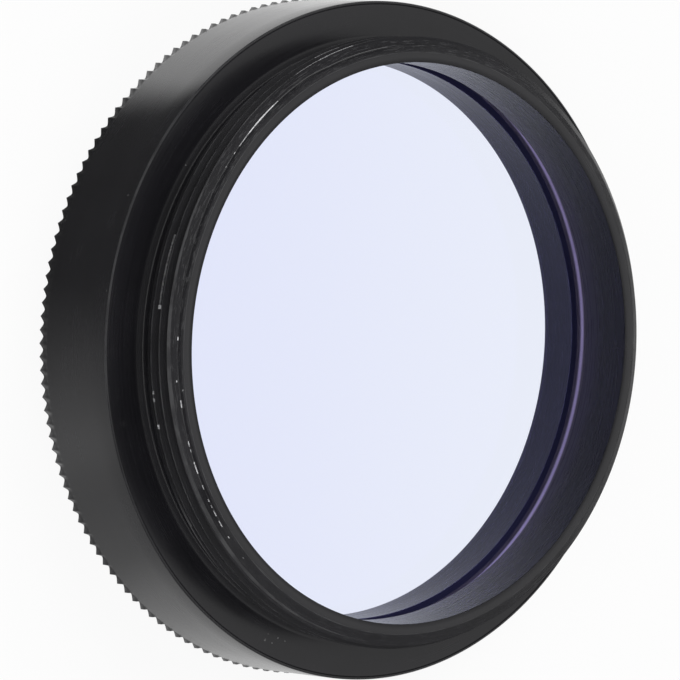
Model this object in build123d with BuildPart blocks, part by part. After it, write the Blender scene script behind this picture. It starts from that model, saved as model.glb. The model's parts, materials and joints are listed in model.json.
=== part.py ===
from build123d import *
import math
import os

# Eyepiece moon filter: a knurled metal cell with a male thread in front and a
# female thread behind, a coated glass disc seated in it from the back, and a
# slotted ring that holds the glass. It lies on its back face, which is z = 0,
# with the light path along +Z. All sizes are in millimetres. The threads are
# drawn plain: an outside thread at its crests, an inside thread at its bore.

# Accessory thread M28.5 x 0.6, male in front and female behind
thread_radius = 14.2
thread_engagement = 0.27
female_thread_length = 0.9
female_lead_in = 0.2

# Cell body: the shoulder is the step from the thread out to the body
shoulder_width = 1.6
shoulder_edge_break = 0.05

# Knurled rim at the back edge of the body
knurl_teeth = 160
knurl_height = 0.5
knurl_depth = 0.21
knurl_run_out = 0.18
knurl_tip_rise = 0.06
knurl_root_cover = 0.03

# Barrel in front of the shoulder: relief groove, thread, bevel
barrel_wall = 1.2
relief_depth = 0.4
relief_width = 0.6
relief_flank = 0.3
relief_fillet = 0.4
male_thread_length = 1.57
front_bevel_height = 0.33
front_land_width = 0.45
bore_edge_break = 0.04

# Glass disc, seated against the inside of the barrel
glass_thickness = 2.0
glass_chamfer = 0.12
glass_seat_width = 0.5
glass_side_gap = 0.05
glass_grip = 0.05

# Retaining ring and the finer inside thread that carries it, M28 x 0.5
ring_height = 2.0
ring_ledge = 0.18
ring_thread_gap = 0.03
ring_bore_margin = 0.05
ring_chamfer = 0.15
slot_width = 1.2
slot_depth = 0.8

# Radii that follow
body_radius = thread_radius + shoulder_width
relief_radius = thread_radius - relief_depth
clear_radius = thread_radius - barrel_wall
front_land_radius = clear_radius + front_land_width
glass_radius = clear_radius + glass_seat_width
pocket_radius = glass_radius + glass_side_gap
ring_thread_radius = pocket_radius + ring_ledge
ring_outer_radius = ring_thread_radius - ring_thread_gap
ring_bore_radius = clear_radius + ring_bore_margin
female_thread_radius = thread_radius - thread_engagement
mouth_radius = female_thread_radius + female_lead_in
knurl_tip_radius = body_radius + knurl_tip_rise
knurl_root_radius = knurl_tip_radius - knurl_depth
knurl_core_radius = knurl_root_radius - knurl_root_cover

# Levels that follow, from the back face up
ring_back_z = female_thread_length
glass_back_z = ring_back_z + ring_height
glass_front_z = glass_back_z + glass_thickness
pocket_back_z = glass_back_z + glass_grip
shoulder_z = glass_front_z
relief_top_z = shoulder_z + relief_width
thread_bottom_z = relief_top_z + relief_flank
thread_top_z = thread_bottom_z + male_thread_length
front_z = thread_top_z + front_bevel_height


def polar_point(radius, degrees):
    """The point at a radius and an angle about the light path."""
    angle = math.radians(degrees)
    return (radius * math.cos(angle), radius * math.sin(angle))


def corner_at(sketch, radius, level):
    """The corner of a turned section that lies nearest to a radius and a level."""
    return sketch.vertices().sort_by_distance((radius, level, 0))[0]


# The cell is one turned piece. Its section runs from the mouth at the back out
# to the knurled rim, up the outside, across the front and down the light path.
with BuildPart() as filter_cell:
    with BuildSketch(Plane.XZ) as cell_section:
        with BuildLine():
            Polyline(
                (mouth_radius, 0),
                (knurl_core_radius, 0),
                (knurl_core_radius, knurl_height - knurl_run_out),
                (body_radius, knurl_height),
                (body_radius, shoulder_z),
                (relief_radius, shoulder_z),
                (relief_radius, relief_top_z),
                (thread_radius, thread_bottom_z),
                (thread_radius, thread_top_z),
                (front_land_radius, front_z),
                (clear_radius, front_z),
                (clear_radius, glass_front_z),
                (pocket_radius, glass_front_z),
                (pocket_radius, pocket_back_z),
                (ring_thread_radius, pocket_back_z),
                (ring_thread_radius, ring_back_z),
                (female_thread_radius, ring_back_z),
                (female_thread_radius, female_lead_in),
                close=True,
            )
        make_face()
        root_fillet = min(relief_fillet, 0.9 * relief_width)
        fillet(corner_at(cell_section, relief_radius, shoulder_z), root_fillet)
        chamfer(corner_at(cell_section, body_radius, shoulder_z), shoulder_edge_break)
        chamfer(corner_at(cell_section, clear_radius, front_z), bore_edge_break)
    revolve(axis=Axis.Z)

    # The knurl is a row of V-shaped flutes that meet in pointed teeth, pressed in
    # so that the tips stand a little proud of the wall. The flutes run out at the
    # top on the slope drawn in the section.
    with BuildSketch(Plane.XY):
        with BuildLine():
            knurl_outline = []
            for tooth in range(knurl_teeth):
                tip_angle = 360 * tooth / knurl_teeth
                root_angle = 360 * (tooth + 0.5) / knurl_teeth
                knurl_outline.append(polar_point(knurl_tip_radius, tip_angle))
                knurl_outline.append(polar_point(knurl_root_radius, root_angle))
            Polyline(*knurl_outline, close=True)
        make_face()
        Circle(mouth_radius, mode=Mode.SUBTRACT)
    extrude(amount=knurl_height)

# The glass is a plane disc with its two rims taken off.
with BuildPart() as filter_glass:
    with BuildSketch(Plane.XY.offset(glass_back_z)):
        Circle(glass_radius)
    extrude(amount=glass_thickness)
    chamfer(filter_glass.edges().filter_by(GeomType.CIRCLE), glass_chamfer)

# The ring screws in behind the glass. A two-pronged spanner turns it by the
# slots in its back face.
with BuildPart() as retaining_ring:
    with BuildSketch(Plane.XY.offset(ring_back_z)):
        Circle(ring_outer_radius)
        Circle(ring_bore_radius, mode=Mode.SUBTRACT)
    extrude(amount=ring_height)
    rims = retaining_ring.edges().filter_by(GeomType.CIRCLE).sort_by(SortBy.RADIUS)
    chamfer(rims[-2:], ring_chamfer)
    with Locations((0, 0, ring_back_z)):
        Box(
            slot_width,
            4 * ring_outer_radius,
            slot_depth,
            align=(Align.CENTER, Align.CENTER, Align.MIN),
            mode=Mode.SUBTRACT,
        )

filter_cell.part.label = "filter_cell"
filter_glass.part.label = "filter_glass"
retaining_ring.part.label = "retaining_ring"

os.makedirs("parts", exist_ok=True)
export_step(filter_cell.part, "parts/filter_cell.step")
export_step(filter_glass.part, "parts/filter_glass.step")
export_step(retaining_ring.part, "parts/retaining_ring.step")
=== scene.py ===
import json
import math

import bpy
import numpy as np
from mathutils import Matrix, Vector


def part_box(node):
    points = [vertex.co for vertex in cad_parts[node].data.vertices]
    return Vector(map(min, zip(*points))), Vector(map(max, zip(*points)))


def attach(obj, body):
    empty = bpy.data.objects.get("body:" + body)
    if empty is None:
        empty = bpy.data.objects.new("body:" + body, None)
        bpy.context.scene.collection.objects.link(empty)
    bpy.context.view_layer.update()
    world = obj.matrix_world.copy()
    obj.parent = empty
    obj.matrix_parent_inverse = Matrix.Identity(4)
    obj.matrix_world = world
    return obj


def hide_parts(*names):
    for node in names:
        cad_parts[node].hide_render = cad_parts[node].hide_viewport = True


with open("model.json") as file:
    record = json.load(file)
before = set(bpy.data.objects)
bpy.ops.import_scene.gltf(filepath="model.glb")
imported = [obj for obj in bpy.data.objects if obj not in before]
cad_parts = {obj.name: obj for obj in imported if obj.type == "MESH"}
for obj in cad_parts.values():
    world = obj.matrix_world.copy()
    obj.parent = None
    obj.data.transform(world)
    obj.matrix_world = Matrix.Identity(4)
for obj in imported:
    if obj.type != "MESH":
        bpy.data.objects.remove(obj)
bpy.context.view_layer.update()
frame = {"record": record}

bl_info = {
    "name": "Eyepiece moon filter",
    "version": (1, 0, 0),
    "blender": (4, 5, 0),
    "location": "3D View > Sidebar > Moon filter",
    "description": "Dresses the turned cell, the coated glass and the retaining ring of a moon filter",
    "category": "Mesh",
}

MM = 0.001
TURN = 2 * math.pi

_, CELL_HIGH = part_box("filter_cell")
GLASS_LOW, GLASS_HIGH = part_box("filter_glass")
RING_LOW, RING_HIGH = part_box("retaining_ring")
SHOULDER = GLASS_HIGH.z
FRONT = CELL_HIGH.z
TIP_RADIUS = CELL_HIGH.x
VIEW_TURN = math.radians(1.03)


def seen_at(degrees):
    """The part's angle of what the photograph shows at this angle, from its right side upwards."""
    return math.radians(degrees) + VIEW_TURN


def thread_wall(name):
    """The radius and the lowest and highest level of a thread mount's wall, in metres."""
    mount = next(mount for mount in frame["record"]["mounts"] if mount["name"] == name)
    middle = mount["pos_m"][2]
    half = mount["dims"]["length_mm"] * MM / 2
    return mount["dims"]["r_mm"] * MM, middle - half, middle + half


MALE_RADIUS, MALE_LOW, MALE_HIGH = thread_wall("male_thread")
FEMALE_RADIUS, FEMALE_LOW, FEMALE_HIGH = thread_wall("female_thread")


def length(name, default, description):
    """A length that a user may change, in metres."""
    return bpy.props.FloatProperty(
        name=name, description=description, default=default, unit="LENGTH", precision=5
    )


def colour(name, default, description):
    """A linear colour that a user may change."""
    return bpy.props.FloatVectorProperty(
        name=name, description=description, default=default, subtype="COLOR", size=3, min=0, max=1
    )


class CellSettings(bpy.types.PropertyGroup):
    """Sizes and colours of the turned cell."""

    teeth: bpy.props.IntProperty(
        name="Knurl teeth", description="Teeth round the back rim", default=160, min=12
    )
    knurl_height: length("Knurl height", 0.5 * MM, "How far the knurl reaches up from the back face")
    knurl_depth: length("Knurl depth", 0.21 * MM, "Depth of a flute below the tips of the teeth")
    knurl_run_out: length("Knurl run-out", 0.18 * MM, "Height in which the flutes run out")
    knurl_tip_rise: length("Tip rise", 0.06 * MM, "How far the tips stand proud of the smooth wall")
    knurl_edge: length("Knurl edge", 0.03 * MM, "Edge break of the teeth at the back face")
    edge_break: length("Shoulder edge break", 0.05 * MM, "Edge break of the shoulder")
    bore_edge_break: length("Bore edge break", 0.02 * MM, "Edge break of the bore's front rim")
    groove_inset: length("Groove inset", 0.14 * MM, "From the shoulder's edge to the fine groove beside it")
    groove_depth: length("Groove depth", 0.03 * MM, "Depth and half width of that groove")
    pitch: length("Thread pitch", 0.6 * MM, "Pitch of both filter threads")
    thread_depth: length("Thread depth", 0.36 * MM, "Depth of the thread below its crests")
    crest_height: length("Crest height", 2.5 * MM, "First crest above the shoulder, at the view's left")
    relief_radius: length("Relief radius", 13.8 * MM, "Radius of the groove behind the thread")
    relief_width: length("Relief width", 0.6 * MM, "Width of the groove at its floor")
    relief_fillet: length("Relief fillet", 0.4 * MM, "Fillet between the groove and the shoulder")
    land_radius: length("Land radius", 13.45 * MM, "Outer radius of the flat front land")
    bore_radius: length("Bore radius", 13.0 * MM, "Radius of the light path")
    pocket_radius: length("Pocket radius", 13.55 * MM, "Radius of the pocket that holds the glass")
    ring_thread_radius: length("Ring thread radius", 13.73 * MM, "Bore of the ring's thread")
    glass_grip: length("Glass grip", 0.05 * MM, "How far the pocket stops in front of the ring")
    mouth_radius: length("Mouth radius", 14.13 * MM, "Radius of the lead-in at the back face")
    anodised: colour("Anodising", (0.0125, 0.0122, 0.0145), "Colour of the black anodising")
    blackened: colour("Blackened bore", (0.005, 0.005, 0.008), "Colour of the matt black inside")
    # Painted light: the violet cast that the coated glass throws on the bore next to it.
    painted_glass_cast: colour("Beside the glass", (0.012, 0.009, 0.028), "Colour of the bore beside the glass")
    bore_gloss: colour("Bore gloss", (0.72, 0.70, 1.0), "Cast of the gloss on the blackened inside")
    # Also a painted highlight: this colour lightens the thread's crests and the shoulder's edge.
    worn: colour("Worn edges", (0.06, 0.06, 0.063), "Colour of edges that handling has worn")
    # Also the colour of the painted glints on the burr and the thread.
    bare_metal_and_glint: colour("Bare metal", (0.88, 0.88, 0.9), "Colour of aluminium where it shows")
    dust: colour("Dust", (0.2, 0.2, 0.2), "Colour of the dust specks")


class GlassSettings(bpy.types.PropertyGroup):
    """Sizes and colours of the coated glass."""

    rim: length("Rim", 0.12 * MM, "Width of the rims ground off the disc")
    tint: colour("Tint", (0.77, 0.80, 1.0), "Colour of light that has passed the glass")
    # Painted light: the glass is given this paler tint towards the side that leans to the light.
    painted_light_tint: colour("Pale tint", (0.83, 0.86, 1.0), "The same on the side that leans to the light")
    coating: colour("Coating", (0.22, 0.16, 0.75), "Colour of the coating's reflection")
    ground_edge: colour("Ground edge", (0.44, 0.36, 0.58), "Colour of the ground edge")


class RingSettings(bpy.types.PropertyGroup):
    """Sizes and colours of the retaining ring."""

    bore_radius: length("Bore radius", 13.05 * MM, "Inner radius of the ring")
    rim: length("Rim", 0.15 * MM, "Width of the chamfers on the outer rims")
    front_break: length("Front edge break", 0.02 * MM, "Edge break of the bore at the glass")
    back_break: length("Back edge break", 0.04 * MM, "Edge break of the bore at the back")
    slot_width: length("Slot width", 1.2 * MM, "Width of a spanner slot")
    slot_depth: length("Slot depth", 0.8 * MM, "Depth of a spanner slot")
    anodised: colour("Anodising", (0.012, 0.011, 0.02), "Colour of the matt black anodising")
    # Painted light: the ring's face behind the glass is lighter and violet, for the light that reaches it
    # through the glass.
    face: colour("Face", (0.055, 0.05, 0.085), "Colour of the ring's face behind the glass")
    gloss: colour("Gloss", (0.56, 0.57, 1.0), "Cast of the gloss on the matt black")


class StageSettings(bpy.types.PropertyGroup):
    """The camera, the floor and the light."""

    off_axis: bpy.props.FloatProperty(
        name="Off axis", description="Lean of the light path to the right of the view",
        default=math.radians(39.23), subtype="ANGLE",
    )
    drop: bpy.props.FloatProperty(
        name="Drop", description="Lean of the light path below the view",
        default=math.radians(2.67), subtype="ANGLE",
    )
    turn: bpy.props.FloatProperty(
        name="Turn", description="Turn of the view about the light path", default=VIEW_TURN, subtype="ANGLE",
    )
    distance: length("Distance", 372.03 * MM, "From the camera to the middle of the shoulder")
    aim_right: length("Aim right", 1.6225 * MM, "How far the shoulder's middle lies right of the view")
    aim_down: length("Aim down", 0.0377 * MM, "How far the shoulder's middle lies below the view")
    lens: bpy.props.FloatProperty(
        name="Lens", description="Focal length on a 36 mm sensor, in millimetres", default=423.53
    )
    floor_radius: length("Floor radius", 0.9, "Radius of the floor")


SETTINGS = {
    "moon_cell": CellSettings,
    "moon_glass": GlassSettings,
    "moon_ring": RingSettings,
    "moon_stage": StageSettings,
}


def polar(radius, angle, level):
    """Points at a radius and an angle about the light path: x = r cos a, y = r sin a, z = level."""
    radius, angle, level = np.broadcast_arrays(radius, angle, level)
    return np.stack([radius * np.cos(angle), radius * np.sin(angle), level], axis=-1)


def turned_rows(section, angle):
    """Carries a section round the light path: one row of points for each (radius, level) in it."""
    return np.array([polar(radius, angle, level) for radius, level in section])


def numbered(grid, first=0):
    """The numbers of a grid of points, row by row."""
    rows, columns = grid.shape[:2]
    return first + np.arange(rows * columns).reshape(rows, columns)


def grid_quads(number):
    """The quads of a numbered grid, which is open on all four sides.

    Along a row the angle grows. Faces point away from the material when the rows follow a
    section that runs anticlockwise in the plane of radius and level.
    """
    corners = [number[:-1, :-1], number[:-1, 1:], number[1:, 1:], number[1:, :-1]]
    return np.stack(corners, axis=-1).reshape(-1, 4)


def zip_faces(coarse, fine):
    """Triangles between a coarse row and a fine row with twice as many steps.

    Each coarse step gets three: one to each half step beside it and one that spans both.
    """
    a, b = coarse[:-1], coarse[1:]
    low, middle, high = fine[:-2:2], fine[1:-1:2], fine[2::2]
    corners = ((a, middle, low), (a, b, middle), (b, high, middle))
    return np.concatenate([np.stack(three, axis=-1) for three in corners])


WELD_DISTANCE = 1e-9


def welded(points, quads, triangles=np.zeros((0, 3), int)):
    """Merges points that coincide, and drops the faces that this leaves without an area.

    A quad with two equal neighbouring corners becomes a triangle, and one with more goes.
    """
    keys = np.round(points / WELD_DISTANCE).astype(np.int64)
    _, first, number = np.unique(keys, axis=0, return_index=True, return_inverse=True)
    number = number.ravel()
    quads = number[quads]
    triangles = number[triangles]
    count = (quads == np.roll(quads, -1, axis=1)).sum(axis=1)
    crossed = (quads[:, 0] == quads[:, 2]) | (quads[:, 1] == quads[:, 3])
    pinched = quads[(count == 1) & ~crossed]
    kept = pinched != np.roll(pinched, -1, axis=1)
    triangles = np.concatenate([triangles, pinched[kept].reshape(-1, 3)])
    flat = (triangles == np.roll(triangles, -1, axis=1)).any(axis=1)
    return points[first], quads[(count == 0) & ~crossed], triangles[~flat]


def new_mesh(name, surface):
    """A mesh of a surface, which is its points, its quads and, where it has them, its triangles."""
    points, quads, triangles = welded(*surface)
    mesh = bpy.data.meshes.new(name)
    mesh.from_pydata(points.tolist(), [], quads.tolist() + triangles.tolist())
    return mesh


SHARP_ANGLE = math.radians(38)


def new_piece(name, surface, materials, node):
    """Makes a piece of a finished surface, which replaces its CAD node and rides on the body."""
    mesh = new_mesh(name, surface)
    mesh.shade_smooth()
    mesh.set_sharp_from_angle(angle=SHARP_ANGLE)
    for material in materials:
        mesh.materials.append(material)
    piece = bpy.data.objects.new(name, mesh)
    bpy.context.scene.collection.objects.link(piece)
    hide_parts(node)
    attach(piece, "root")
    return mesh


def face_centres(mesh):
    """The radius and the level of each face's middle."""
    middles = np.empty(3 * len(mesh.polygons))
    mesh.polygons.foreach_get("center", middles)
    x, y, level = middles.reshape(-1, 3).T
    return np.hypot(x, y), level


def give_second_material(mesh, chosen):
    """Gives the chosen faces the piece's second material."""
    mesh.polygons.foreach_set("material_index", chosen.astype(np.int32))


def arc(centre, radius, start, end, steps):
    """Points (radius, level) along a circular arc in the plane of the section, angles in degrees."""
    angle = np.radians(np.linspace(start, end, steps + 1))
    return [(centre[0] + radius * math.cos(a), centre[1] + radius * math.sin(a)) for a in angle]


def broken_edge(corner, before, after, edge):
    """Four points of a section that break a corner off, with both ends of the break rounded.

    Before and after are the directions (radius, level) from the corner back along the section
    and on along it. A point lies at corner + b * before + a * after.
    """
    soft = 0.2 * edge
    near = 0.3 * soft
    steps = ((edge + soft, 0.0), (edge - near, near), (near, edge - near), (0.0, edge + soft))
    return [tuple(np.array(corner) + b * np.array(before) + a * np.array(after)) for b, a in steps]


def flute_radius(angle, cell):
    """Radius of the knurl at each angle: V-shaped flutes with rounded bottoms between sharp tips.

    With x from 0 at the bottom of a flute to 1 at a tip and c the rounding,
    r = root + depth * (sqrt(x^2 + c^2) - c) / (sqrt(1 + c^2) - c).
    """
    half = math.pi / cell.teeth
    x = np.abs(np.mod(angle, 2 * half) / half - 1)
    c = 0.25
    rise = (np.sqrt(x * x + c * c) - c) / (math.sqrt(1 + c * c) - c)
    return TIP_RADIUS - cell.knurl_depth + cell.knurl_depth * rise


def knurl_rows(cell, angle):
    """The knurled rim from the back face up: flutes of full depth that run out into the wall.

    In the run-out the radius is the flute's, held between a root that rises and a tip that
    sinks evenly to the wall.
    """
    root = TIP_RADIUS - cell.knurl_depth
    body = TIP_RADIUS - cell.knurl_tip_rise
    flutes = flute_radius(angle, cell)
    rows = [polar(flutes - cell.knurl_edge, angle, 0.0), polar(flutes, angle, cell.knurl_edge)]
    for share in np.linspace(0, 1, 5):
        level = cell.knurl_height + (share - 1) * cell.knurl_run_out
        held = np.clip(flutes, root + share * (body - root), TIP_RADIUS + share * (body - TIP_RADIUS))
        rows.append(polar(held, angle, level))
    return np.array(rows)


def outside_section(cell):
    """From above the knurl, over the shoulder with its fine groove, to the foot of the thread."""
    body = TIP_RADIUS - cell.knurl_tip_rise
    groove = body - cell.groove_inset
    relief = cell.relief_radius
    fillet_centre = (relief + cell.relief_fillet, SHOULDER + cell.relief_fillet)
    return [
        (body, cell.knurl_height + 0.1 * MM),
        (body, 0.45 * SHOULDER),
        (body, 0.75 * SHOULDER),
        *broken_edge((body, SHOULDER), (0, -1), (-1, 0), cell.edge_break),
        (groove + cell.groove_depth, SHOULDER),
        (groove, SHOULDER - cell.groove_depth),
        (groove - cell.groove_depth, SHOULDER),
        (0.7 * body + 0.3 * relief, SHOULDER),
        (0.4 * body + 0.6 * relief, SHOULDER),
        *arc(fillet_centre, cell.relief_fillet, 270, 180, 10),
        (relief, SHOULDER + cell.relief_width),
    ]


def inside_section(cell):
    """Across the front land and down the bore, the seat, the pocket and the ring's thread."""
    pocket_back = RING_HIGH.z + cell.glass_grip
    return [
        (cell.land_radius - 0.02 * MM, FRONT),
        *broken_edge((cell.bore_radius, FRONT), (1, 0), (0, -1), cell.bore_edge_break),
        (cell.bore_radius, SHOULDER),
        (cell.pocket_radius, SHOULDER),
        (cell.pocket_radius, pocket_back),
        (cell.ring_thread_radius, pocket_back),
        (cell.ring_thread_radius, FEMALE_HIGH),
    ]


def back_section(cell):
    """Across the back face, out to the row that meets the knurl."""
    root = TIP_RADIUS - cell.knurl_depth
    return [(0.6 * cell.mouth_radius + 0.4 * root, 0.0), (0.97 * root, 0.0)]


# A thread's crest reaches this far to each side, its flank has a row here, and its root begins
# here: distances from the middle of the crest, in pitches.
CREST_HALF = 0.055
FLANK_ROW = 0.23
ROOT_START = 0.40


def first_crest(cell):
    """The level at which the male thread's first crest passes the angle 0."""
    return SHOULDER + cell.crest_height - cell.pitch * seen_at(180) / TURN


def thread_rows(cell, crest, low, high, angle):
    """The levels of the rows of a thread between two levels, at each angle.

    The rows follow the helix, with the same few offsets in each pitch:
    level = crest + offset + pitch * angle / turn.
    """
    share = np.array([-0.5, -ROOT_START, -FLANK_ROW, -CREST_HALF, CREST_HALF, FLANK_ROW, ROOT_START])
    turns = np.arange(math.floor((low - crest) / cell.pitch) - 2, math.ceil((high - crest) / cell.pitch) + 2)
    offset = (turns[:, None] + share[None, :]).ravel() * cell.pitch
    return crest + offset[:, None] + cell.pitch * angle[None, :] / TURN


def thread_depth(cell, crest, level, angle):
    """Depth of a thread below its crests, at any level and angle.

    With u the distance to the nearest crest in pitches, it is 0 on the crest, grows evenly down
    the flank and has its full value from where the root begins.
    """
    turns = (level - crest) / cell.pitch - angle / TURN
    u = np.abs(turns - np.round(turns))
    return cell.thread_depth * np.interp(u, [CREST_HALF, ROOT_START], [0.0, 1.0])


def bevel_slope(cell):
    """How much the bevel's radius falls for each metre of height."""
    return (MALE_RADIUS - cell.land_radius) / (FRONT - MALE_HIGH)


def cut_by_bevel(cell, radius, level):
    """Cuts the thread off where it meets the bevel: rows past the meeting line move onto it.

    The bevel's radius is r = thread radius - slope * (level - top of the thread). The line is
    found in each column between the last row inside the bevel and the first row outside it,
    by straight interpolation of the gap.
    """
    gap = radius - (MALE_RADIUS - bevel_slope(cell) * (level - MALE_HIGH))
    past = np.argmax(gap > 0, axis=0)
    column = np.arange(radius.shape[1])
    inside, outside = gap[past - 1, column], gap[past, column]
    share = inside / (inside - outside)
    cut_level = level[past - 1, column] + share * (level[past, column] - level[past - 1, column])
    cut_radius = radius[past - 1, column] + share * (radius[past, column] - radius[past - 1, column])
    beyond = np.arange(len(radius))[:, None] >= past[None, :]
    return np.where(beyond, cut_radius, radius), np.where(beyond, cut_level, level), cut_radius


def male_thread(cell, angle):
    """The rows of the male thread, and the radius at which the bevel cuts it at each angle.

    The radius is the crests' less the depth, held under the run-out cone behind the thread.
    """
    crest = first_crest(cell)
    relief_top = SHOULDER + cell.relief_width
    run_out = (MALE_RADIUS - cell.relief_radius) / (MALE_LOW - relief_top)
    level = thread_rows(cell, crest, relief_top, FRONT, angle)
    radius = np.minimum(
        MALE_RADIUS - thread_depth(cell, crest, level, angle),
        cell.relief_radius + run_out * (np.maximum(level, relief_top) - relief_top),
    )
    radius, level, cut_radius = cut_by_bevel(cell, radius, level)
    return polar(radius, angle[None, :], np.maximum(level, relief_top)), cut_radius


def female_thread(cell, angle):
    """The rows of the female thread, from its front end back to the mouth.

    Grooves are cut outwards from its bore: r = bore + full depth - depth, and at least the
    radius of the lead-in cone.
    """
    level = np.clip(thread_rows(cell, 0.0, 0.0, FEMALE_HIGH, angle)[::-1], 0.0, FEMALE_HIGH)
    radius = FEMALE_RADIUS + cell.thread_depth - thread_depth(cell, 0.0, level, angle)
    lead_in = (cell.mouth_radius - FEMALE_RADIUS) / FEMALE_LOW
    radius = np.maximum(radius, FEMALE_RADIUS + lead_in * (FEMALE_LOW - level))
    return polar(radius, angle[None, :], level)


# The burr on the bevel: where it starts, how far round it runs, how high it stands, and its
# section as distance from its line in millimetres and share of the height. It stands beside a
# shallow hollow.
BURR_START = seen_at(87)
BURR_SPAN = math.radians(133)
BURR_HEIGHT = 0.025 * MM
BURR_SECTION = ((0.022, 0.0), (0.006, 1.0), (-0.006, 1.0), (-0.02, -0.4), (-0.06, -1.6), (-0.11, 0.0))
BURR_MARGIN = 0.05 * MM


def burr_radius(angle):
    """Radius of the burr on the bevel: it winds inwards as it runs round from its start.

    With x from 0 to 1 along its span, r = 13.95 - 0.46 x + 0.21 x^2 millimetres. It takes an
    array or a material's value.
    """
    x = (angle - BURR_START) * (1 / BURR_SPAN)
    return (13.95 - 0.46 * x + 0.21 * x * x) * MM


def bevel_rows(cell, angle, cut_radius):
    """The bevel with its burr, from the thread to the flat land.

    A row at radius r has the level top of the thread + (thread radius - r) / slope + lift. The
    burr's lift fades in and out at the two ends of its span.
    """
    burr = np.minimum(burr_radius(angle), cut_radius - BURR_MARGIN)
    along = np.clip((angle - BURR_START) / BURR_SPAN, 0, 1)
    height = BURR_HEIGHT * np.clip(12 * along * (1 - along), 0, 1)
    rows = [(burr + offset * MM, lift * height) for offset, lift in BURR_SECTION]
    rows.append((0.5 * burr + 0.5 * cell.land_radius, 0.0))
    rows.append((cell.land_radius + 0.03 * MM, 0.0))
    return np.array([
        polar(radius, angle, MALE_HIGH + (MALE_RADIUS - radius) / bevel_slope(cell) + lift)
        for radius, lift in rows
    ])


def cell_surface(cell):
    """The whole skin of the cell as rows round the light path.

    The section runs anticlockwise: up the outside, across the front, down the light path and
    along the back face. The knurl, which closes it, has twice as many columns as the rest.
    """
    steps = 4 * cell.teeth
    angle = np.linspace(0, TURN, steps + 1)
    thread, cut_radius = male_thread(cell, angle)
    skin = np.concatenate([
        turned_rows(outside_section(cell), angle),
        thread,
        bevel_rows(cell, angle, cut_radius),
        turned_rows(inside_section(cell), angle),
        female_thread(cell, angle),
        turned_rows(back_section(cell), angle),
    ])
    knurl = knurl_rows(cell, np.linspace(0, TURN, 2 * steps + 1))
    number = numbered(skin)
    knurl_number = numbered(knurl, number.size)
    points = np.concatenate([skin.reshape(-1, 3), knurl.reshape(-1, 3)])
    quads = np.concatenate([grid_quads(number), grid_quads(knurl_number)])
    up_to_knurl = zip_faces(number[-1], knurl_number[0])
    down_to_knurl = zip_faces(number[0], knurl_number[-1])[:, ::-1]
    return points, quads, np.concatenate([up_to_knurl, down_to_knurl])


def disc_surface(glass):
    """The glass as rings of points about the light path, closed at both middles.

    The section runs from the middle of the back face out to the ground edge and back to the
    middle of the front face.
    """
    radius, low, high, rim = GLASS_HIGH.x, GLASS_LOW.z, GLASS_HIGH.z, glass.rim
    section = [
        (0.0, low),
        (0.5 * radius, low),
        (radius - rim, low),
        (radius, low + rim),
        (radius, high - rim),
        (radius - rim, high),
        (0.5 * radius, high),
        (0.0, high),
    ]
    grid = turned_rows(section, np.linspace(0, TURN, 385))
    return grid.reshape(-1, 3), grid_quads(numbered(grid))


def ring_surface(ring):
    """The retaining ring as columns of one section, which is cut shorter inside the slots.

    A slot's walls are parallel, so a column beside a slot leans: its angle at radius r is
    arcsin(half the slot's width / r). Two columns stand at each wall, one with the whole
    section and one with the cut one, and the wall is what lies between them.
    """
    outer, low, high, rim = RING_HIGH.x, RING_LOW.z, RING_HIGH.z, ring.rim
    inner = ring.bore_radius
    front_break, back_break = ring.front_break, ring.back_break
    section = np.array([
        (outer - rim, low),
        (outer, low + rim),
        (outer, high - rim),
        (outer - rim, high),
        (inner + front_break, high),
        (inner, high - front_break),
        (inner, low + back_break),
        (inner + back_break, low),
        (outer - rim, low),
    ])
    radius, level = section[:, 0], section[:, 1]
    slot_level = np.maximum(level, low + ring.slot_depth)
    half = np.arcsin(0.5 * ring.slot_width / radius)
    columns = []
    for middle in (0.5 * math.pi, 1.5 * math.pi):
        for share in np.linspace(-1, 1, 9):
            columns.append(polar(radius, middle + share * half, slot_level))
        for share in np.linspace(0, 1, 181):
            columns.append(polar(radius, middle + half + share * (math.pi - 2 * half), level))
    columns.append(columns[0])
    grid = np.array(columns).transpose(1, 0, 2)
    return grid.reshape(-1, 3), grid_quads(numbered(grid))


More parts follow.
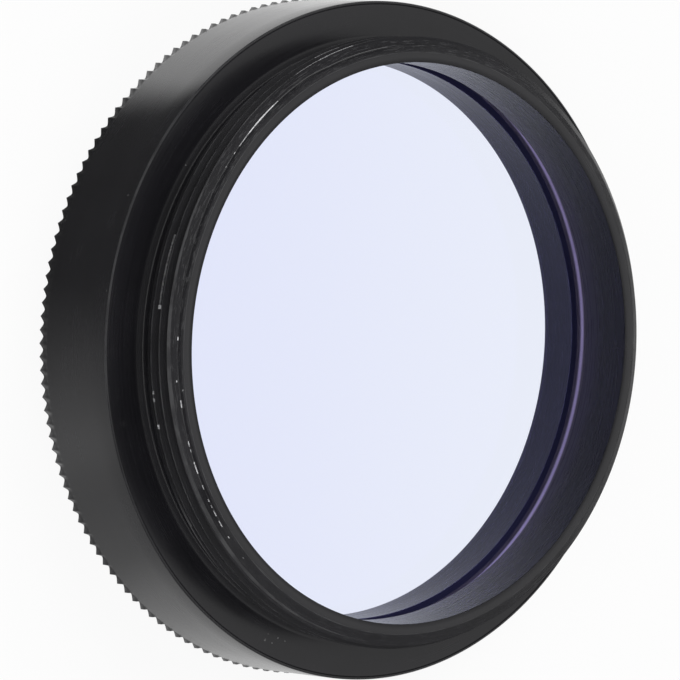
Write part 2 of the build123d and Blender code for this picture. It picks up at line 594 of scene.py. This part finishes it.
class Value:
    """A number or colour that a material works out, with the usual arithmetic as Math nodes."""

    def __init__(self, tree, socket):
        self.tree = tree
        self.socket = socket

    def node(self, kind, settings=None, inputs=None, output=0):
        """Adds any node: its settings first, then values or links for its sockets."""
        node = self.tree.nodes.new(kind)
        for name, setting in (settings or {}).items():
            setattr(node, name, setting)
        for name, value in (inputs or {}).items():
            feed(self.tree, node.inputs[name], value)
        return Value(self.tree, node.outputs[output])

    def maths(self, operation, *values):
        """A Math node on this value and others, in the order given."""
        inputs = dict(enumerate(values))
        return self.node("ShaderNodeMath", {"operation": operation}, inputs)

    def __add__(self, other):
        return self.maths("ADD", self, other)

    def __sub__(self, other):
        return self.maths("SUBTRACT", self, other)

    def __rsub__(self, other):
        return self.maths("SUBTRACT", other, self)

    def __mul__(self, other):
        return self.maths("MULTIPLY", self, other)

    def __gt__(self, other):
        return self.maths("GREATER_THAN", self, other)

    def __lt__(self, other):
        return self.maths("LESS_THAN", self, other)

    def __abs__(self):
        return self.maths("ABSOLUTE", self)

    __radd__ = __add__
    __rmul__ = __mul__

    def at_most(self, limit):
        """This value, or the limit where that is smaller."""
        return self.maths("MINIMUM", self, limit)

    def at_least(self, limit):
        """This value, or the limit where that is larger."""
        return self.maths("MAXIMUM", self, limit)

    def ramp(self, low, high, to_low=0.0, to_high=1.0):
        """Eases from one value to another as this one goes from low to high."""
        return self.node(
            "ShaderNodeMapRange",
            {"interpolation_type": "SMOOTHSTEP"},
            {0: self, 1: low, 2: high, 3: to_low, 4: to_high},
        )

    def band(self, middle, half, soft):
        """1 within a half width of a middle value, and 0 past a soft edge."""
        return abs(self - middle).ramp(half, half + soft, 1.0, 0.0)

    def blend(self, low, high):
        """A colour between two, by this value as the share of the second."""
        return self.node("ShaderNodeMix", {"data_type": "RGBA"}, {0: self, 6: low, 7: high}, 2)

    def outputs(self, *names):
        """Outputs of the node that this value comes from."""
        return [Value(self.tree, self.socket.node.outputs[name]) for name in names]

    def split(self):
        """The three components of this vector."""
        return self.node("ShaderNodeSeparateXYZ", inputs={0: self}).outputs("X", "Y", "Z")


def feed(tree, socket, value):
    """Links a Value to a socket, or sets the socket to a number or colour."""
    if isinstance(value, Value):
        tree.links.new(value.socket, socket)
    elif socket.type == "RGBA" and len(value) == 3:
        socket.default_value = (*value, 1.0)
    else:
        socket.default_value = value


def new_material(name):
    """A material with its node tree, which holds only a shader and the output, and that shader."""
    material = bpy.data.materials.new(name)
    material.use_nodes = True
    tree = material.node_tree
    tree.nodes.clear()
    output = tree.nodes.new("ShaderNodeOutputMaterial")
    shader = tree.nodes.new("ShaderNodeBsdfPrincipled")
    tree.links.new(shader.outputs[0], output.inputs["Surface"])
    return material, tree, shader


def show(tree, surface):
    """Makes a surface what the material shows."""
    output = next(node for node in tree.nodes if node.type == "OUTPUT_MATERIAL")
    feed(tree, output.inputs["Surface"], surface)


def place(tree):
    """Object coordinates as a point, with its x, its level, and its radius and angle from 0 to a turn."""
    point = Value(tree, None).node("ShaderNodeTexCoord", output="Object")
    x, y, level = point.split()
    radius = x.maths("SQRT", x * x + y * y)
    angle = x.maths("ARCTAN2", y, x)
    return point, x, level, radius, angle + (angle < 0) * TURN


def noise(point, scale, detail=2.0, roughness=0.5):
    """Noise texture on a point, with a scale in features to the metre."""
    inputs = {"Vector": point, "Scale": scale, "Detail": detail, "Roughness": roughness}
    return point.node("ShaderNodeTexNoise", inputs=inputs)


def turned_noise(radius, level, angle, reach, scale, roughness):
    """Noise stretched round the light path, in which a radian of turn counts as the reach."""
    spread = radius.node("ShaderNodeCombineXYZ", inputs={0: radius, 1: level, 2: angle * reach})
    return noise(spread, scale, 3.0, roughness)


def turned_grain(radius, level, angle):
    """Fine turning marks."""
    return turned_noise(radius, level, angle, 0.3 * MM, 9000.0, 0.6)


def stretch(angle, first, last):
    """1 between two of the photograph's angles in degrees, and 0 elsewhere."""
    return (angle > seen_at(first)) * (angle < seen_at(last))


# Stretches of the burr painted bright, partly bare metal and partly painted glints where highlights
# fall: first and last angle seen, in degrees, distance from the burr's line and half width in
# millimetres, and share of bare metal and painted glint.
BURR_GLINTS = (
    (127.0, 139.5, 0.0, 0.006, 0.8),
    (128.3, 136.0, -0.008, 0.018, 0.9),
    (131.0, 133.8, -0.012, 0.028, 1.0),
    (140.9, 141.4, 0.0, 0.01, 0.7),
    (144.3, 144.7, 0.0, 0.01, 0.5),
    (178.7, 179.4, 0.0, 0.02, 0.9),
    (186.9, 187.3, 0.09, 0.015, 0.7),
    (188.8, 189.1, -0.14, 0.015, 0.7),
    (190.8, 192.2, 0.0, 0.014, 1.0),
    (198.8, 199.9, 0.0, 0.014, 1.0),
    (200.4, 201.1, 0.0, 0.008, 0.7),
    (203.0, 205.5, 0.0, 0.012, 1.0),
    (207.9, 208.9, 0.0, 0.006, 0.8),
    (211.0, 211.6, 0.0, 0.008, 0.8),
    (212.4, 213.0, 0.0, 0.006, 0.6),
    (213.6, 214.9, 0.0, 0.010, 0.9),
    (216.0, 217.5, 0.0, 0.008, 0.9),
    (219.8, 220.3, 0.0, 0.006, 0.7),
    (225.3, 225.7, 0.0, 0.006, 0.3),
)

# Bright marks on the thread, partly bare metal and partly painted glints where highlights fall:
# first and last angle seen, in degrees, height above the first crest in pitches, half width in
# pitches, and share of bare metal and painted glint.
THREAD_GLINT_MARKS = (
    (105.5, 114.0, 0.0, 0.05, 0.8),
    (113.5, 120.0, 0.0, 0.04, 0.45),
    (107.0, 113.0, -1.0, 0.05, 0.35),
    (159.5, 173.4, -1.73, 0.02, 0.25),
    (173.1, 173.8, -1.71, 0.05, 0.9),
    (189.0, 189.6, -2.0, 0.07, 0.6),
    (190.3, 191.0, -2.0, 0.07, 0.5),
    (195.3, 196.1, -2.0, 0.08, 0.8),
)

# Dust specks: angle seen in degrees, radius and height above the shoulder in millimetres, and
# size in millimetres.
DUST_SPECKS = (
    (155.3, 15.8, -0.51, 0.05),
    (171.8, 15.8, -0.23, 0.04),
    (126.0, 15.8, -3.15, 0.05),
    (145.15, 14.03, 0.04, 0.05),
    (246.4, 15.06, 0.0, 0.08),
    (248.1, 15.04, 0.0, 0.05),
    (249.0, 14.71, 0.0, 0.06),
    (250.75, 14.70, 0.0, 0.05),
    (246.6, 14.75, 0.0, 0.04),
)


def glint_mask(angle, level, radius, chips):
    """Bare metal and painted glints on the burr: the sum of its glints, each a short stretch of the burr's
    line.
    """
    beside = radius - burr_radius(angle)
    total = 0.0
    for first, last, offset, half, share in BURR_GLINTS:
        near = beside.band(offset * MM, half * MM, 0.018 * MM)
        total = near * stretch(angle, first, last) * share + total
    return total * (level > FRONT - 0.3 * MM) * chips


def thread_masks(cell, angle, level, radius, streaks):
    """Bare metal with painted glints, and worn crests lightened as a painted highlight, on the male
    thread, by the height above the first crest in pitches.
    """
    height = (level - first_crest(cell)) * (1 / cell.pitch) - angle * (1 / TURN)
    on_barrel = (radius > 13.9 * MM) * (radius < 14.3 * MM) * (level > SHOULDER + 0.75 * MM)
    bare_and_glint = 0.0
    for first, last, middle, half, share in THREAD_GLINT_MARKS:
        bare_and_glint = height.band(middle, half, 0.02) * stretch(angle, first, last) * share + bare_and_glint
    # Painted highlight as well as wear: the crests are lightened along a narrow band.
    crest = height.maths("PINGPONG", height, 0.5).ramp(0.045, 0.075, 1.0, 0.0)
    return bare_and_glint * on_barrel, crest * on_barrel * streaks.ramp(0.35, 0.65, 0.35, 0.9)


def speck_mask(point):
    """Dust specks: soft round spots, broken up by fine noise."""
    total = 0.0
    for degrees, speck_radius, height, size in DUST_SPECKS:
        turn = seen_at(degrees)
        across = speck_radius * MM
        spot = (across * math.cos(turn), across * math.sin(turn), SHOULDER + height * MM)
        distance = point.node(
            "ShaderNodeVectorMath", {"operation": "DISTANCE"}, {0: point, 1: spot}, "Value"
        )
        total = distance.ramp(0.3 * size * MM, size * MM, 1.0, 0.0) + total
    return total * noise(point, 30000.0, 1.0).ramp(0.35, 0.6)


def cell_material(cell):
    """Satin black anodising on turned aluminium, with worn edges, bare metal on the burr and dust,
    and painted highlights on the burr, the thread and the shoulder's edge.
    """
    material, tree, shader = new_material("anodised_cell")
    point, _, level, radius, angle = place(tree)
    grain = turned_grain(radius, level, angle)
    cloud = noise(point, 350.0)
    streaks = noise(point, 900.0)
    body = TIP_RADIUS - cell.knurl_tip_rise

    # Bare metal and painted glints: bright white where highlights fall on the burr and the thread.
    thread_bare_and_glint, thread_worn_and_highlight = thread_masks(cell, angle, level, radius, streaks)
    chips = noise(point, 9000.0, 2.0).ramp(0.35, 0.55, 0.35, 1.0)
    bare_and_glint = (glint_mask(angle, level, radius, chips) + thread_bare_and_glint * chips).at_most(1.0)

    # Wear and painted highlight: a painted highlight along the shoulder's edge, strongest over one
    # stretch of angle, wear on the land and its edge, and scratches round the bevel. The thread's
    # worn crests carry a painted highlight too.
    scratches = turned_noise(radius, level, angle, 1.5 * MM, 16000.0, 0.7)
    # Painted highlight: the shoulder's edge is lightened, most over one stretch of angle.
    held = streaks.ramp(0.3, 0.7, 0.3, 0.75) * angle.ramp(seen_at(180), seen_at(200), 1.0, 0.35)
    shoulder_edge_highlight = radius.ramp(body - 0.08 * MM, body - 0.05 * MM) * (level > SHOULDER - 0.06 * MM)
    on_bevel = (level > FRONT - 0.33 * MM) * (level < FRONT - 0.03 * MM) * (radius > cell.land_radius)
    scratched = on_bevel * scratches.ramp(0.5, 0.68) * angle.ramp(seen_at(165), seen_at(220), 0.75, 0.25)
    land_edge = radius.band(cell.land_radius + 0.03 * MM, 0.01 * MM, 0.02 * MM) * (level > FRONT - 0.06 * MM)
    on_land = level > FRONT - 0.01 * MM
    worn = thread_worn_and_highlight + shoulder_edge_highlight * held + scratched
    worn = worn + land_edge * streaks.ramp(0.3, 0.7, 0.2, 0.8) + on_land * 0.12

    black = (grain * 0.5 + cloud * 0.5).ramp(0.3, 0.7)
    base = black.blend([0.8 * c for c in cell.anodised], [1.2 * c for c in cell.anodised])
    base = worn.at_most(1.0).blend(base, cell.worn)
    base = speck_mask(point).blend(base, cell.dust)
    feed(tree, shader.inputs["Base Color"], bare_and_glint.blend(base, cell.bare_metal_and_glint))
    feed(tree, shader.inputs["Metallic"], bare_and_glint * 0.3)
    roughness = grain.ramp(0.3, 0.7, 0.20, 0.27) + cloud.ramp(0.3, 0.7, -0.02, 0.02)
    feed(tree, shader.inputs["Roughness"], roughness)
    shader.inputs["IOR"].default_value = 1.6
    shader.inputs["Coat Weight"].default_value = 0.4
    shader.inputs["Coat Roughness"].default_value = 0.2

    # The land's inner edge is rolled over: its height falls with the square of the distance
    # from where the roll begins, to a slope of 0.6 at the bore.
    roll = 0.35 * MM
    inside = (cell.bore_radius + roll - radius).at_least(0.0) * on_land
    height = grain * (0.0004 * MM) - inside * inside * (0.3 / roll)
    bump = point.node("ShaderNodeBump", inputs={"Strength": 1.0, "Distance": 1.0, "Height": height})
    feed(tree, shader.inputs["Normal"], bump)
    return material


def matt_black(name, shade, gloss_tint, specular, painted_light_colour, low, high):
    """Matt black on turned metal with fine turning marks, which takes a second, painted light colour
    between two levels.
    """
    material, tree, shader = new_material(name)
    _, _, level, radius, angle = place(tree)
    grain = turned_grain(radius, level, angle)
    # Painted light: between the two levels the colour turns to the lighter one.
    base = level.ramp(low, high).blend(shade, painted_light_colour)
    base = grain.ramp(0.3, 0.7, 0.0, 0.2).blend(base, (0.0, 0.0, 0.0))
    feed(tree, shader.inputs["Base Color"], base)
    feed(tree, shader.inputs["Roughness"], grain.ramp(0.3, 0.7, 0.24, 0.32))
    shader.inputs["Specular IOR Level"].default_value = specular
    shader.inputs["Specular Tint"].default_value = (*gloss_tint, 1.0)
    bump = grain.node("ShaderNodeBump", inputs={"Strength": 0.03, "Distance": 0.005 * MM, "Height": grain})
    feed(tree, shader.inputs["Normal"], bump)
    return material


def glass_material(glass):
    """Clear glass with a pale blue tint and a violet coating, which lets the lamps' light through; the
    tint is painted paler towards one side, as painted light.
    """
    material, tree, shader = new_material("coated_glass")
    _, x, *_ = place(tree)
    # Painted light: the tint grows paler towards the side that leans to the light.
    across = x.ramp(-GLASS_HIGH.x, GLASS_HIGH.x)
    feed(tree, shader.inputs["Base Color"], across.blend(glass.tint, glass.painted_light_tint))
    shader.inputs["Roughness"].default_value = 0.0
    shader.inputs["IOR"].default_value = 1.52
    shader.inputs["Transmission Weight"].default_value = 1.0
    shader.inputs["Specular Tint"].default_value = (*glass.coating, 1.0)
    clear = x.node("ShaderNodeBsdfTransparent", inputs={"Color": glass.tint})
    in_shadow = x.node("ShaderNodeLightPath", output="Is Shadow Ray")
    seen = Value(tree, shader.outputs[0])
    show(tree, x.node("ShaderNodeMixShader", inputs={0: in_shadow, 1: seen, 2: clear}))
    return material


def edge_material(glass):
    """The ground edge of the glass: matt violet, finely grained, with painted light that is brightest
    in a band a little above the ring and dark elsewhere.
    """
    material, tree, shader = new_material("ground_edge")
    point, _, level, *_ = place(tree)
    grain = noise(point, 12000.0).ramp(0.3, 0.7, 0.9, 1.1)
    # Painted light: a bright band a little above the ring, dark elsewhere.
    light = level.band(GLASS_LOW.z + 0.42 * MM, 0.04 * MM, 0.3 * MM) * 0.9 + 0.1
    base = (grain * light).blend((0.0, 0.0, 0.0), glass.ground_edge)
    feed(tree, shader.inputs["Base Color"], base)
    feed(tree, shader.inputs["Roughness"], grain * 0.8)
    return material


class MOON_OT_cell(bpy.types.Operator):
    """Builds the knurled and threaded cell with its black anodising"""

    bl_idname = "moon.cell"
    bl_label = "Cell"

    def execute(self, context):
        cell = context.scene.moon_cell
        # The bore near the glass takes the painted violet cast.
        blackened = matt_black(
            "blackened_bore", cell.blackened, cell.bore_gloss, specular=0.24,
            painted_light_colour=cell.painted_glass_cast, low=SHOULDER + 1.5 * MM, high=SHOULDER,
        )
        materials = [cell_material(cell), blackened]
        mesh = new_piece("cell_skin", cell_surface(cell), materials, "filter_cell")
        radius, level = face_centres(mesh)
        light_path = (radius < cell.bore_radius + 0.01 * MM) & (level < FRONT - cell.bore_edge_break)
        seat = (radius < cell.pocket_radius) & (level < SHOULDER + 0.01 * MM)
        threads = (radius < 1.02 * cell.mouth_radius) & (level < 0.9 * SHOULDER) & (level > 0.01 * MM)
        give_second_material(mesh, light_path | seat | threads)
        return {"FINISHED"}


class MOON_OT_glass(bpy.types.Operator):
    """Builds the coated glass disc with its ground edge"""

    bl_idname = "moon.glass"
    bl_label = "Glass"

    def execute(self, context):
        glass = context.scene.moon_glass
        materials = [glass_material(glass), edge_material(glass)]
        mesh = new_piece("glass_disc", disc_surface(glass), materials, "filter_glass")
        give_second_material(mesh, face_centres(mesh)[0] > GLASS_HIGH.x - 0.9 * glass.rim)
        return {"FINISHED"}


class MOON_OT_ring(bpy.types.Operator):
    """Builds the slotted retaining ring behind the glass"""

    bl_idname = "moon.ring"
    bl_label = "Retaining ring"

    def execute(self, context):
        ring = context.scene.moon_ring
        # The ring's face behind the glass takes the painted light colour.
        anodised = matt_black(
            "anodised_ring", ring.anodised, ring.gloss, specular=0.3,
            painted_light_colour=ring.face, low=RING_HIGH.z - 0.03 * MM, high=RING_HIGH.z - 0.01 * MM,
        )
        new_piece("slotted_ring", ring_surface(ring), [anodised], "retaining_ring")
        return {"FINISHED"}


def view_axes(stage):
    """The view's right, down and forward directions in the filter's frame.

    With o the lean off the axis and d the drop, right = (cos o, sin d sin o, sin o cos d),
    down = (0, -cos d, sin d) and forward = (sin o, -sin d cos o, -cos o cos d), all three
    then turned about the light path.
    """
    off, drop = stage.off_axis, stage.drop
    right = Vector((math.cos(off), math.sin(drop) * math.sin(off), math.sin(off) * math.cos(drop)))
    down = Vector((0.0, -math.cos(drop), math.sin(drop)))
    forward = Vector((math.sin(off), -math.sin(drop) * math.cos(off), -math.cos(off) * math.cos(drop)))
    turn = Matrix.Rotation(stage.turn, 3, "Z")
    return turn @ right, turn @ down, turn @ forward


def add_camera(stage):
    """Places the camera where the photograph was taken from."""
    right, down, forward = view_axes(stage)
    shoulder_middle = Vector((0.0, 0.0, SHOULDER))
    place_at = shoulder_middle - stage.aim_right * right - stage.aim_down * down - stage.distance * forward
    data = bpy.data.cameras.new("camera")
    data.lens = stage.lens
    data.sensor_width = 36.0
    data.clip_start = 0.01
    data.clip_end = 10.0
    camera = bpy.data.objects.new("camera", data)
    turn = Matrix((right, -down, -forward)).transposed().to_4x4()
    camera.matrix_world = Matrix.Translation(place_at) @ turn
    bpy.context.scene.collection.objects.link(camera)
    bpy.context.scene.camera = camera


# The lamps: name, place in metres and power in watts. All are squares of one size.
LAMP_SIZE = 0.5
LAMPS = (
    ("lamp_above", (0.1, 0.42, 0.42), 1.9),
    ("lamp_below", (0.0, -0.42, 0.42), 1.2),
    ("lamp_left", (-0.42, 0.0, 0.42), 1.5),
)


def add_lamp(name, position, power):
    """A square soft lamp that points at the filter and doesn't show in its gloss."""
    data = bpy.data.lights.new(name, "AREA")
    data.shape = "SQUARE"
    data.size = LAMP_SIZE
    data.energy = power
    lamp = bpy.data.objects.new(name, data)
    lamp.location = position
    lamp.rotation_mode = "QUATERNION"
    lamp.rotation_quaternion = (-Vector(position)).to_track_quat("-Z", "Y")
    lamp.visible_glossy = False
    bpy.context.scene.collection.objects.link(lamp)


def add_floor(stage):
    """A white floor that keeps the shadow, looks white in glass and metal save for a painted shade
    beside the filter, and is clear from below.
    """
    rings = [(radius, 0.0) for radius in (0.0, 0.05, 0.2, stage.floor_radius)]
    grid = turned_rows(rings, np.linspace(0, TURN, 97))
    mesh = new_mesh("floor", (grid.reshape(-1, 3), grid_quads(numbered(grid))[:, ::-1]))
    floor = bpy.data.objects.new("floor", mesh)
    bpy.context.scene.collection.objects.link(floor)

    material, tree, shader = new_material("white_floor")
    shader.inputs["Base Color"].default_value = (0.9, 0.9, 0.9, 1.0)
    shader.inputs["Roughness"].default_value = 0.9
    shader.inputs["Specular IOR Level"].default_value = 0.0
    _, x, _, radius, angle = place(tree)
    path = x.node("ShaderNodeLightPath")
    camera, glossy, through = path.outputs("Is Camera Ray", "Is Glossy Ray", "Is Transmission Ray")

    # Painted shade lies on the floor beside the filter on the camera's side. Only gloss shows it.
    painted_floor_shade = angle.ramp(seen_at(167), seen_at(204), 0.92, 0.5) + angle.band(seen_at(217), 0.09, 0.24) * 0.14
    painted_floor_shade = painted_floor_shade * x.ramp(-12.8 * MM, -10.2 * MM, 1.0, 0.0).at_least(angle > math.pi)
    painted_floor_shade = painted_floor_shade * angle.ramp(seen_at(222), seen_at(300), 1.0, 0.0) * radius.ramp(0.03, 0.05, 1.0, 0.0)
    strength = 1.0 - painted_floor_shade * glossy * (radius > 0.95 * TIP_RADIUS)
    white = x.node("ShaderNodeEmission", inputs={"Color": (1.0, 1.0, 1.0), "Strength": strength})
    lit = Value(tree, shader.outputs[0])
    seen = glossy + through + camera * 0.9
    above = x.node("ShaderNodeMixShader", inputs={0: seen, 1: lit, 2: white})
    from_below = x.node("ShaderNodeNewGeometry", output="Backfacing")
    clear = x.node("ShaderNodeBsdfTransparent")
    show(tree, x.node("ShaderNodeMixShader", inputs={0: from_below, 1: above, 2: clear}))
    mesh.materials.append(material)


def add_world():
    """A soft studio that is light on the far side and grows darker overhead and towards the camera."""
    world = bpy.data.worlds.new("studio")
    world.use_nodes = True
    bpy.context.scene.world = world
    tree = world.node_tree
    tree.nodes.clear()
    direction = Value(tree, None).node("ShaderNodeTexCoord", output="Generated")
    across, side, rise = direction.split()
    far_light = across.ramp(-0.4, 0.2) * abs(side).ramp(0.15, 0.75, 1.0, 0.2)
    level = far_light * rise.ramp(0.05, 0.6, 0.1, 1.0) * 0.34 + 0.08
    shade = level.blend((0.0, 0.0, 0.0), (1.0, 1.0, 1.0))
    background = direction.node("ShaderNodeBackground", inputs={"Color": shade, "Strength": 1.0})
    output = tree.nodes.new("ShaderNodeOutputWorld")
    feed(tree, output.inputs["Surface"], background)


class MOON_OT_stage(bpy.types.Operator):
    """Sets the camera, the white floor, the soft lamps and the studio"""

    bl_idname = "moon.stage"
    bl_label = "Stage"

    def execute(self, context):
        stage = context.scene.moon_stage
        add_camera(stage)
        add_floor(stage)
        add_world()
        for lamp in LAMPS:
            add_lamp(*lamp)
        context.scene.view_settings.view_transform = "Standard"
        return {"FINISHED"}


class MOON_PT_panel(bpy.types.Panel):
    """Lists the pieces of the filter and what can be changed on them"""

    bl_idname = "MOON_PT_panel"
    bl_label = "Moon filter"
    bl_space_type = "VIEW_3D"
    bl_region_type = "UI"
    bl_category = "Moon filter"

    def draw(self, context):
        for operator, group in zip(PIECES, SETTINGS):
            box = self.layout.box()
            box.operator(operator.bl_idname)
            settings = getattr(context.scene, group)
            for name in type(settings).__annotations__:
                box.prop(settings, name)


PIECES = (MOON_OT_cell, MOON_OT_glass, MOON_OT_ring, MOON_OT_stage)


def register():
    for group in SETTINGS.values():
        bpy.utils.register_class(group)
    for group_name, group in SETTINGS.items():
        setattr(bpy.types.Scene, group_name, bpy.props.PointerProperty(type=group))
    for kind in (*PIECES, MOON_PT_panel):
        bpy.utils.register_class(kind)


def unregister():
    for kind in (MOON_PT_panel, *reversed(PIECES)):
        bpy.utils.unregister_class(kind)
    for group_name, group in SETTINGS.items():
        delattr(bpy.types.Scene, group_name)
        bpy.utils.unregister_class(group)


def main():
    """Makes the pieces and the stage in order."""
    register()
    bpy.ops.moon.cell()
    bpy.ops.moon.glass()
    bpy.ops.moon.ring()
    bpy.ops.moon.stage()


if __name__ == "__main__":
    main()
